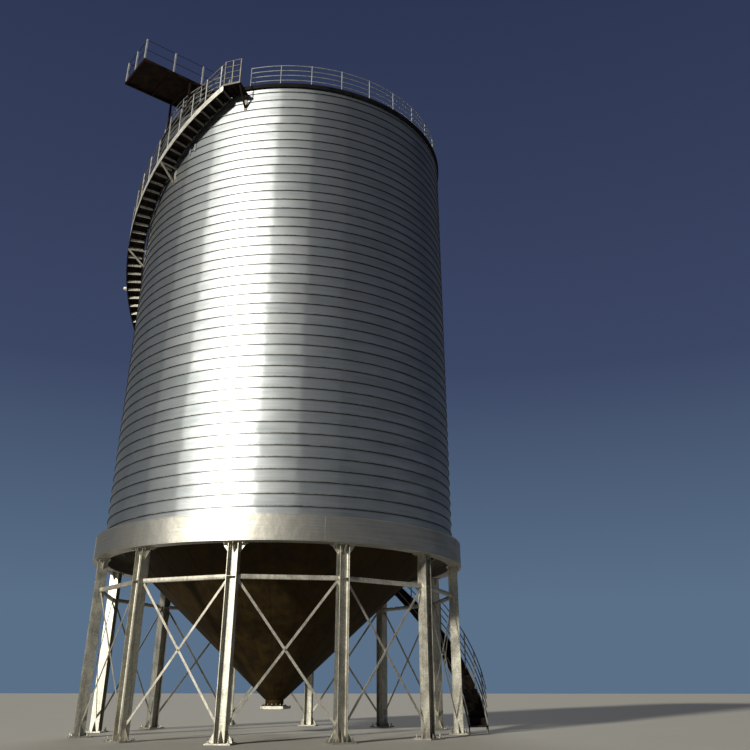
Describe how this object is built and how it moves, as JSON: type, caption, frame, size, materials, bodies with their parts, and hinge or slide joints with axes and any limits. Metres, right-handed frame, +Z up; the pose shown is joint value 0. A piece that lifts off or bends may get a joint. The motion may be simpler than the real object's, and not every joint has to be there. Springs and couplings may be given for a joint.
{
  "type": "grain silo",
  "caption": "Elevated round steel grain silo with a hopper bottom on braced legs, a low cone roof, a spiral stair round the wall and a roof walkway",
  "frame": {"origin": "on the bin's axis, at the level of the undersides of the base plates", "axes": "+Z up, -Y towards the viewer with one leg at the front, +X to the right"},
  "size_m": [13.7484, 13.5823, 24.3703],
  "materials": {
    "galvanised_sheet": "galvanised steel sheet, weathered to a soft grey",
    "ring_sheet": "plain galvanised sheet, weathered",
    "hopper_sheet": "galvanised sheet, dust-stained brown",
    "leg_steel": "hot-dip galvanised sections, dull grey",
    "brace_steel": "hot-dip galvanised angles, dull grey",
    "stair_steel": "hot-dip galvanised plate and grating, weathered",
    "eave_steel": "dark eave angle in shadow, dull",
    "rail_steel": "hot-dip galvanised tube",
    "deck_steel": "walkway frame, rust-brown underside"
  },
  "bodies": {
    "root": {"shell_wall_1": "galvanised_sheet", "shell_wall_2": "galvanised_sheet", "shell_wall_3": "galvanised_sheet", "shell_wall_4": "galvanised_sheet", "shell_wall_5": "galvanised_sheet", "shell_wall_6": "galvanised_sheet", "ring_beam_1": "ring_sheet", "ring_beam_2": "ring_sheet", "ring_beam_3": "ring_sheet", "ring_beam_4": "ring_sheet", "hopper_cone": "hopper_sheet", "outlet_collar": "hopper_sheet", "slide_gate": "leg_steel", "eave_ring": "eave_steel", "roof_cone": "galvanised_sheet", "roof_cap": "galvanised_sheet", "leg_1": "leg_steel", "leg_2": "leg_steel", "leg_3": "leg_steel", "leg_4": "leg_steel", "leg_5": "leg_steel", "leg_6": "leg_steel", "leg_7": "leg_steel", "leg_8": "leg_steel", "leg_9": "leg_steel", "leg_10": "leg_steel", "leg_11": "leg_steel", "leg_12": "leg_steel", "bay_bracing_1": "brace_steel", "bay_bracing_2": "brace_steel", "bay_bracing_3": "brace_steel", "bay_bracing_4": "brace_steel", "bay_bracing_5": "brace_steel", "bay_bracing_6": "brace_steel", "bay_bracing_7": "brace_steel", "bay_bracing_8": "brace_steel", "bay_bracing_9": "brace_steel", "bay_bracing_10": "brace_steel", "bay_bracing_11": "brace_steel", "bay_bracing_12": "brace_steel", "stair_flight_1": "stair_steel", "stair_flight_2": "stair_steel", "stair_flight_3": "stair_steel", "stair_flight_4": "stair_steel", "stair_flight_5": "stair_steel", "stair_flight_6": "stair_steel", "lower_flight_1": "stair_steel", "lower_flight_2": "stair_steel", "rest_landing": "stair_steel", "top_landing": "stair_steel", "roof_rail_1": "rail_steel", "roof_rail_2": "rail_steel", "walkway_deck": "deck_steel", "walkway_rail": "rail_steel", "walkway_trestle": "stair_steel"}
  },
  "joints": []
}
